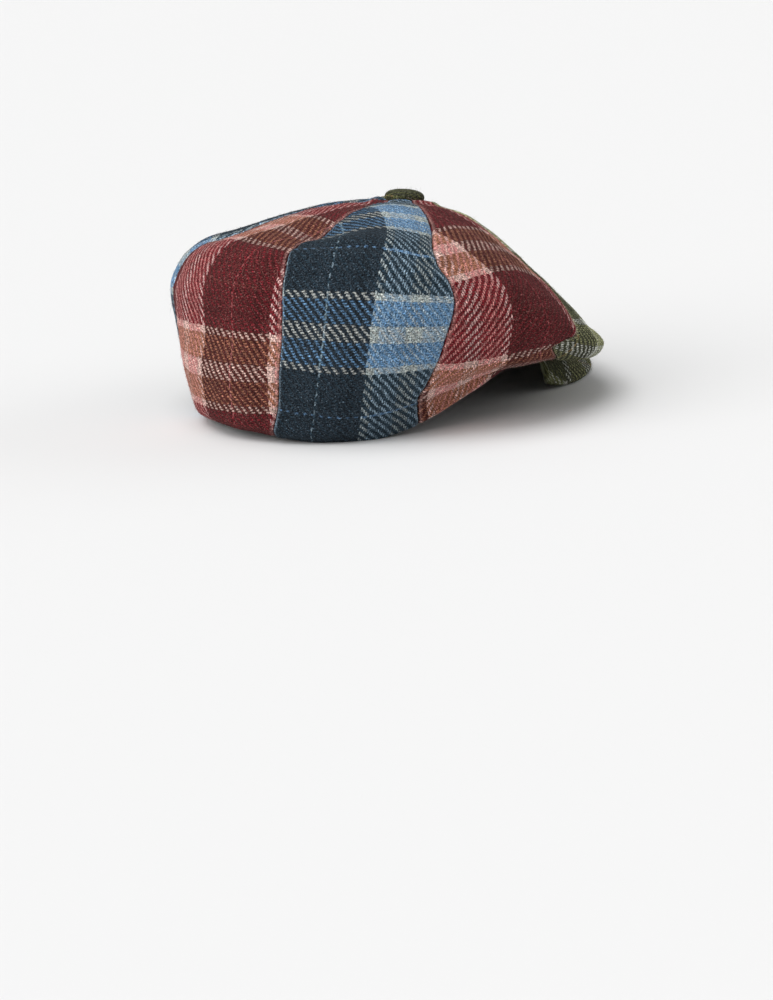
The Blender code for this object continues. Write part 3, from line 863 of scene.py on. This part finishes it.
def smooth_line(knots, count):
    """Evenly spaced points on a smooth line through a few knots."""
    knots = np.array(knots, float)
    line = np.concatenate([[2 * knots[0] - knots[1]], knots, [2 * knots[-1] - knots[-2]]])
    share = np.linspace(0, 1, BUTTON_LINE_STEPS, endpoint=False)[:, None]
    points = [curve_between(line[i:i + 4], range(4), share) for i in range(len(line) - 3)]
    points = np.concatenate([*points, knots[-1:]])
    along = running_length(points[:, None], 0)[:, 0]
    even = np.linspace(0, along[-1], count)
    return np.stack([np.interp(even, along, points[:, i]) for i in range(points.shape[1])], -1), even


def button_piece():
    """The covered button, with the cloth gathered in under its edge."""
    foot, axis = button_seat()
    side = unit(np.cross([0.0, 1.0, 0.0], axis))
    ahead = np.cross(axis, side)
    profile, along = smooth_line(BUTTON_PROFILE, BUTTON_ROWS)
    profile = np.maximum(profile, 0.0)
    angles = np.arange(BUTTON_STEPS) * 2 * math.pi / BUTTON_STEPS
    circle = np.outer(np.cos(angles), side) + np.outer(np.sin(angles), ahead)
    share = np.clip(along / along[-1], 0, 1)[:, None]
    wave = np.cos(BUTTON_GATHERS * angles + GATHER_WANDER * np.sin(GATHER_WANDERS * angles))
    gathered = np.clip((share - GATHER_FROM) / GATHER_REACH, 0, 1)
    fold = 1 - BUTTON_GATHER_DEPTH / BUTTON_EDGE * (1 - wave) * gathered
    radius = profile[:, :1] * fold
    grid = foot + axis * profile[:, 1][:, None, None] + circle * radius[..., None]
    flat = np.stack([np.outer(along, np.cos(angles)), np.outer(along, np.sin(angles))], -1)
    number = np.arange(grid[..., 0].size).reshape(BUTTON_ROWS, BUTTON_STEPS)
    number = np.maximum(number - BUTTON_STEPS + 1, 0)
    beside = np.roll(number, -1, axis=1)
    faces = np.stack([number[:-1], beside[:-1], beside[1:], number[1:]], -1)[1:].reshape(-1, 4).tolist()
    faces += [[0, b, a] for a, b in zip(number[1], beside[1])]
    faces.append(number[-1].tolist())
    points = grid.reshape(-1, 3)[BUTTON_STEPS - 1:]
    places = flat.reshape(-1, 2)[BUTTON_STEPS - 1:]
    distance = np.full(len(points), FAR_FROM_SEAM)
    piece = make_piece("button_cover", points, faces, places, distance, BUTTON_CUT)
    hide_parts("button")
    top = slice(1, BUTTON_FIBRE_ROWS)
    outward = unit(grid - foot)
    fibres = loose_fibres("fibres_button", grid[top], outward[top], flat[top], BUTTON_CUT,
                          FIBRE_COUNT_SEEN, len(PANELS) + 1)


class Graph:
    """Short ways to add nodes to a material's tree. Most return the socket that carries the result."""

    def __init__(self, tree):
        self.tree = tree

    def node(self, kind, *values, **settings):
        """A new shader node itself, with its settings and with values fed to its first sockets."""
        made = self.tree.nodes.new("ShaderNode" + kind)
        for name, value in settings.items():
            setattr(made, name, value)
        for socket, value in zip(made.inputs, values):
            self.feed(socket, value)
        return made

    def feed(self, socket, value):
        """Links a socket to a result, or sets it to a plain value."""
        if isinstance(value, bpy.types.NodeSocket):
            self.tree.links.new(value, socket)
        else:
            socket.default_value = value

    def math(self, operation, *values):
        """One step of arithmetic."""
        return self.node("Math", *values, operation=operation).outputs[0]

    def product(self, *values):
        """Several numbers multiplied."""
        total = values[0]
        for value in values[1:]:
            total = self.math("MULTIPLY", total, value)
        return total

    def vector(self, x, y, z):
        """Three numbers joined."""
        return self.node("CombineXYZ", x, y, z).outputs[0]

    def split(self, vector):
        """The three numbers of a vector."""
        return self.node("SeparateXYZ", vector).outputs

    def scatter(self, number, seed):
        """A fixed number from 0 to 1 for each whole number."""
        place = self.vector(number, seed, 0.0)
        return self.node("TexWhiteNoise", place, noise_dimensions="2D").outputs["Value"]

    def noise(self, vector, scale, detail=NOISE_DETAIL):
        """Soft noise, as a number from 0 to 1 and as a colour."""
        made = self.node("TexNoise", vector)
        made.inputs["Scale"].default_value = scale
        made.inputs["Detail"].default_value = detail
        return made.outputs

    def varied(self, place, scale, tone):
        """A number round 1 that soft noise moves by up to a tone each way."""
        noise = self.noise(place, scale)[0]
        return self.spread(noise, NOISE_LOW, NOISE_HIGH, 1 - tone, 1 + tone)

    def choose(self, share, low, high):
        """Between two numbers."""
        made = self.node("Mix", data_type="FLOAT")
        for socket, value in zip(made.inputs[:1] + made.inputs[2:4], (share, low, high)):
            self.feed(socket, value)
        return made.outputs[0]

    def blend(self, share, low, high, kind="MIX"):
        """Between two colours, which are sockets or (red, green, blue)."""
        made = self.node("Mix", data_type="RGBA", blend_type=kind)
        self.feed(made.inputs["Factor"], share)
        for place, value in ((6, low), (7, high)):
            if not isinstance(value, bpy.types.NodeSocket):
                value = (*value, 1.0)
            self.feed(made.inputs[place], value)
        return made.outputs[2]

    def spread(self, value, low, high, to_low, to_high):
        """A number moved from one range to another and kept inside it."""
        return self.node("MapRange", value, low, high, to_low, to_high).outputs[0]

    def stripes(self, thread, pitch, widths, colours):
        """The colour of a numbered thread in a striped sett."""
        place = self.product(self.math("ADD", thread, 0.5), pitch)
        total = sum(widths)
        made = self.node("ValToRGB", self.math("FRACT", self.math("DIVIDE", place, total)))
        made.color_ramp.interpolation = "CONSTANT"
        elements = made.color_ramp.elements
        while len(elements) < len(widths):
            elements.new(0.5)
        for i, element in enumerate(elements):
            element.position = sum(widths[:i]) / total
        for element, name in zip(elements, STRIPES):
            element.color = (*colours[STRIPE_COLOURS.index(name)], 1.0)
        return made.outputs[0]


def weave(graph, x, y):
    """The 2/2 twill at a place on the cloth.

    Returns whether the warp is on top, the whole numbers of the warp and weft threads, and how high the
    thread on top stands there from 0 to 1.
    """
    u = graph.math("DIVIDE", x, WARP_PITCH)
    v = graph.math("DIVIDE", y, WEFT_PITCH)
    warp, weft = graph.math("FLOOR", u), graph.math("FLOOR", v)
    over, down = graph.math("FRACT", u), graph.math("FRACT", v)
    phase = graph.math("FLOORED_MODULO", graph.math("SUBTRACT", warp, weft), TWILL_REPEAT)
    warp_up = graph.math("LESS_THAN", phase, TWILL_TURN)
    warp_along = graph.math("ADD", graph.math("SUBTRACT", 0.0, phase), down)
    weft_along = graph.math("ADD", graph.math("SUBTRACT", phase, TWILL_REPEAT - 1), over)
    along = graph.choose(warp_up, weft_along, warp_along)
    across = graph.math("SUBTRACT", graph.choose(warp_up, down, over), 0.5)
    round_left = graph.math("SUBTRACT", 1.0, graph.product(across, across, THREAD_ROUND))
    end_left = graph.math("SUBTRACT", 1.0, graph.product(along, along, THREAD_DIP))
    height = graph.product(round_left, end_left)
    return warp_up, warp, weft, graph.math("MAXIMUM", height, 0.0)


def shaken(graph, x, y):
    """The place on the cloth, swaying over long stretches and fraying at the threads."""
    plane = graph.vector(x, y, 0.0)
    moved = [x, y]
    for scale, reach in ((SWAY_SCALE, SWAY_REACH), (SHAKE_SCALE, SHAKE_REACH), (FRAY_SCALE, FRAY_REACH)):
        sides = graph.split(graph.noise(plane, scale, SHAKE_DETAIL)["Color"])
        for axis in (0, 1):
            off = graph.product(graph.math("SUBTRACT", sides[axis], 0.5), reach)
            moved[axis] = graph.math("ADD", moved[axis], off)
    return moved


def fibre_grain(graph, x, y, warp_up):
    """Streaks along the thread on top, from 0 to 1."""
    fine, coarse = GRAIN_SCALES
    warp_fibres = graph.vector(graph.product(x, fine), graph.product(y, coarse), WARP_LEVEL)
    weft_fibres = graph.vector(graph.product(x, coarse), graph.product(y, fine), WEFT_LEVEL)
    warp_grain = graph.noise(warp_fibres, 1.0, GRAIN_DETAIL)[0]
    weft_grain = graph.noise(weft_fibres, 1.0, GRAIN_DETAIL)[0]
    return graph.choose(warp_up, weft_grain, warp_grain)


def seam_highlight_band(graph, distance):
    """Where the painted highlight lies beside a seam, from 0 to 1 on the ridge."""
    rise = graph.spread(distance, SEAM_DARK_REACH / 2, SEAM_HIGHLIGHT_FROM, 0.0, 1.0)
    fall = graph.spread(distance, SEAM_HIGHLIGHT_FROM, SEAM_HIGHLIGHT_TO, 1.0, 0.0)
    return graph.product(rise, fall)


def seam_tone(graph, distance, ridge_highlight):
    """Painted shade in a seam's groove and a painted highlight on the ridge beside it."""
    groove = graph.spread(distance, 0.0, SEAM_DARK_REACH, SEAM_SHADE, 1.0)
    return graph.product(groove, graph.math("MULTIPLY_ADD", ridge_highlight, SEAM_HIGHLIGHT, 1.0))


def felted_colour(graph, warp_colours, weft_colours, threads):
    """The colour of two crossing threads, with the darker one felted over the one on top."""
    warp_up, warp, weft, height = threads
    warp_colour = graph.stripes(warp, WARP_PITCH, WARP_WIDTHS, warp_colours)
    weft_colour = graph.stripes(weft, WEFT_PITCH, WEFT_WIDTHS, weft_colours)
    top = graph.blend(warp_up, weft_colour, warp_colour)
    darker = graph.blend(1.0, warp_colour, weft_colour, "DARKEN")
    felted = graph.spread(height, FELT_LOW, FELT_HIGH, FELTED_EDGE, FELTED_CROWN)
    return graph.blend(felted, top, darker)


def thread_value(graph, x, y, threads, grain):
    """How light the cloth is at a place, by its threads, grain, patches and speckles, with painted shade in
    the gaps between threads.
    """
    warp_up, warp, weft, height = threads
    tone = graph.choose(warp_up, graph.scatter(weft, WEFT_SEED), graph.scatter(warp, WARP_SEED))
    tone = graph.spread(tone, 0.0, 1.0, 1 - THREAD_TONE, 1 + THREAD_TONE)
    melange = graph.spread(grain, NOISE_LOW, NOISE_HIGH, MELANGE_DARK, MELANGE_LIGHT)
    patch = graph.varied(graph.vector(x, y, PATCH_LEVEL), PATCH_SCALE, PATCH_TONE)
    speckle = graph.varied(graph.vector(x, y, SPECKLE_LEVEL), SPECKLE_SCALE, SPECKLE_TONE)
    # Painted shade: the colour darkens towards the gaps between threads, where shade falls.
    painted_gap_shade = graph.spread(height, 0.0, 1.0, GAP_SHADE, 1.0)
    return graph.product(tone, melange, patch, speckle, painted_gap_shade)


def pale_share(graph, x, y, ridge_highlight):
    """How much of the fleck colour shows: flecks in the wool, and the painted highlight on the ridge beside a
    seam, which pales the cloth there.
    """
    noise = graph.noise(graph.vector(x, y, FLECK_LEVEL), FLECK_SCALE)[0]
    fleck = graph.spread(noise, FLECK_FROM, FLECK_FROM + FLECK_SPREAD, 0.0, FLECK_SHARE)
    return graph.math("MAXIMUM", fleck, graph.product(ridge_highlight, SEAM_HIGHLIGHT_PALE))


@cache
def cloth_look(name, loose):
    """The brushed wool twill of one plaid, or its loose fibres."""
    warp_colours, weft_colours, fleck = CLOTHS[name]
    material = bpy.data.materials.new(name + ("_loose_fibres" if loose else "_wool_twill"))
    material.use_nodes = True
    material.node_tree.nodes.clear()
    graph = Graph(material.node_tree)
    attribute = graph.node("Attribute", attribute_name="cloth")
    x, y, third = graph.split(attribute.outputs["Vector"])
    threads = weave(graph, *shaken(graph, x, y))
    warp_up, height = threads[0], threads[-1]
    colour = felted_colour(graph, warp_colours, weft_colours, threads)
    shader = graph.node("BsdfPrincipled")
    if loose:
        share = FIBRE_PALE
        value = graph.spread(third, 0.0, 1.0, *FIBRE_TONES)
    else:
        grain = fibre_grain(graph, x, y, warp_up)
        # The band beside each seam carries a painted highlight on its ridge and painted shade in its groove.
        ridge_highlight = seam_highlight_band(graph, third)
        share = pale_share(graph, x, y, ridge_highlight)
        value = graph.product(thread_value(graph, x, y, threads, grain), seam_tone(graph, third, ridge_highlight))
        relief = graph.math("MULTIPLY_ADD", grain, GRAIN_RELIEF, graph.product(height, THREAD_RELIEF))
        bump = graph.node("Bump")
        bump.inputs["Strength"].default_value = 1.0
        bump.inputs["Distance"].default_value = MM
        graph.feed(bump.inputs["Height"], relief)
        graph.feed(shader.inputs["Normal"], bump.outputs[0])
    colour = graph.blend(share, colour, fleck)
    colour = graph.blend(1.0, colour, graph.vector(value, value, value), "MULTIPLY")
    graph.feed(shader.inputs["Base Color"], colour)
    shader.inputs["Roughness"].default_value = CLOTH_ROUGHNESS
    shader.inputs["Specular IOR Level"].default_value = CLOTH_SPECULAR
    shader.inputs["Sheen Weight"].default_value = SHEEN
    shader.inputs["Sheen Roughness"].default_value = SHEEN_ROUGHNESS
    graph.node("OutputMaterial", shader.outputs[0])
    return material


def floor_look():
    """One pale colour all over."""
    material = bpy.data.materials.new("pale_floor")
    material.use_nodes = True
    shader = material.node_tree.nodes["Principled BSDF"]
    shader.inputs["Base Color"].default_value = (*FLOOR_COLOUR, 1.0)
    shader.inputs["Roughness"].default_value = FLOOR_ROUGHNESS
    shader.inputs["Specular IOR Level"].default_value = FLOOR_SPECULAR
    return material


def add_floor():
    """A plain pale floor."""
    half = FLOOR_SIZE / 2
    mesh = bpy.data.meshes.new("floor")
    corners = [(-half, -half, 0), (half, -half, 0), (half, half, 0), (-half, half, 0)]
    mesh.from_pydata(corners, [], [(0, 1, 2, 3)])
    mesh.materials.append(floor_look())
    floor = add_object("floor", mesh)


def add_camera():
    """The camera at the photograph's angle to the cap, pitched with it into the standing pose."""
    ahead, aside = cos_sin(VIEW_AZIMUTH)
    level, height = cos_sin(VIEW_ELEVATION)
    towards = np.array([ahead * level, aside * level, height])
    right = np.array([aside, -ahead, 0.0])
    up = np.cross(right, towards)
    up *= np.sign(up[2])
    target = right * VIEW_RIGHT - up * VIEW_DOWN
    place = towards * VIEW_DISTANCE
    lift = np.array([0.0, 0.0, HEM_DROP])
    ends = [to_scene(stand(point) + lift) for point in (place, target)]
    above = to_scene(stand(target + up) + lift) - ends[1]
    back = unit(ends[0] - ends[1])
    sideways = unit(np.cross(above, back))
    axes = Matrix(np.stack([sideways, np.cross(back, sideways), back], -1).tolist())
    data = bpy.data.cameras.new("camera")
    data.sensor_width = SENSOR
    data.lens = LENS
    data.clip_start, data.clip_end = CLIP_NEAR, CLIP_FAR
    camera = add_object("camera", data)
    camera.matrix_world = Matrix.Translation(ends[0].tolist()) @ axes.to_4x4()
    bpy.context.scene.camera = camera


def add_lights():
    """Soft studio light: wide suns and a pale world."""
    for name, azimuth, elevation, spread, strength in SUNS:
        data = bpy.data.lights.new(name, "SUN")
        data.energy = strength
        data.angle = math.radians(spread)
        light = add_object(name, data)
        ahead, aside = cos_sin(azimuth)
        level, height = cos_sin(elevation)
        towards = Vector((aside * level, -ahead * level, height))
        light.rotation_mode = "QUATERNION"
        light.rotation_quaternion = towards.to_track_quat("Z", "Y")
    world = bpy.data.worlds.new("studio")
    world.use_nodes = True
    background = world.node_tree.nodes["Background"]
    background.inputs["Color"].default_value = (*WORLD_COLOUR, 1.0)
    background.inputs["Strength"].default_value = WORLD_STRENGTH
    bpy.context.scene.world = world
    bpy.context.scene.view_settings.view_transform = "Standard"


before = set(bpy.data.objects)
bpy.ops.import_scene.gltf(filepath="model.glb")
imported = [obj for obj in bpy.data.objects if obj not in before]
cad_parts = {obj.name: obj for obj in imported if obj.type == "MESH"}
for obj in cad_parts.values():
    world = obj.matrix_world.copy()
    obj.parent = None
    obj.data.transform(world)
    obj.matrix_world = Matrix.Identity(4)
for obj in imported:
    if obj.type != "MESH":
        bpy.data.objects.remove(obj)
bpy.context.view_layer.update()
for number, name in enumerate(PANELS):
    crown_panel(number, name)
peak_piece()
button_piece()
add_floor()
add_camera()
add_lights()
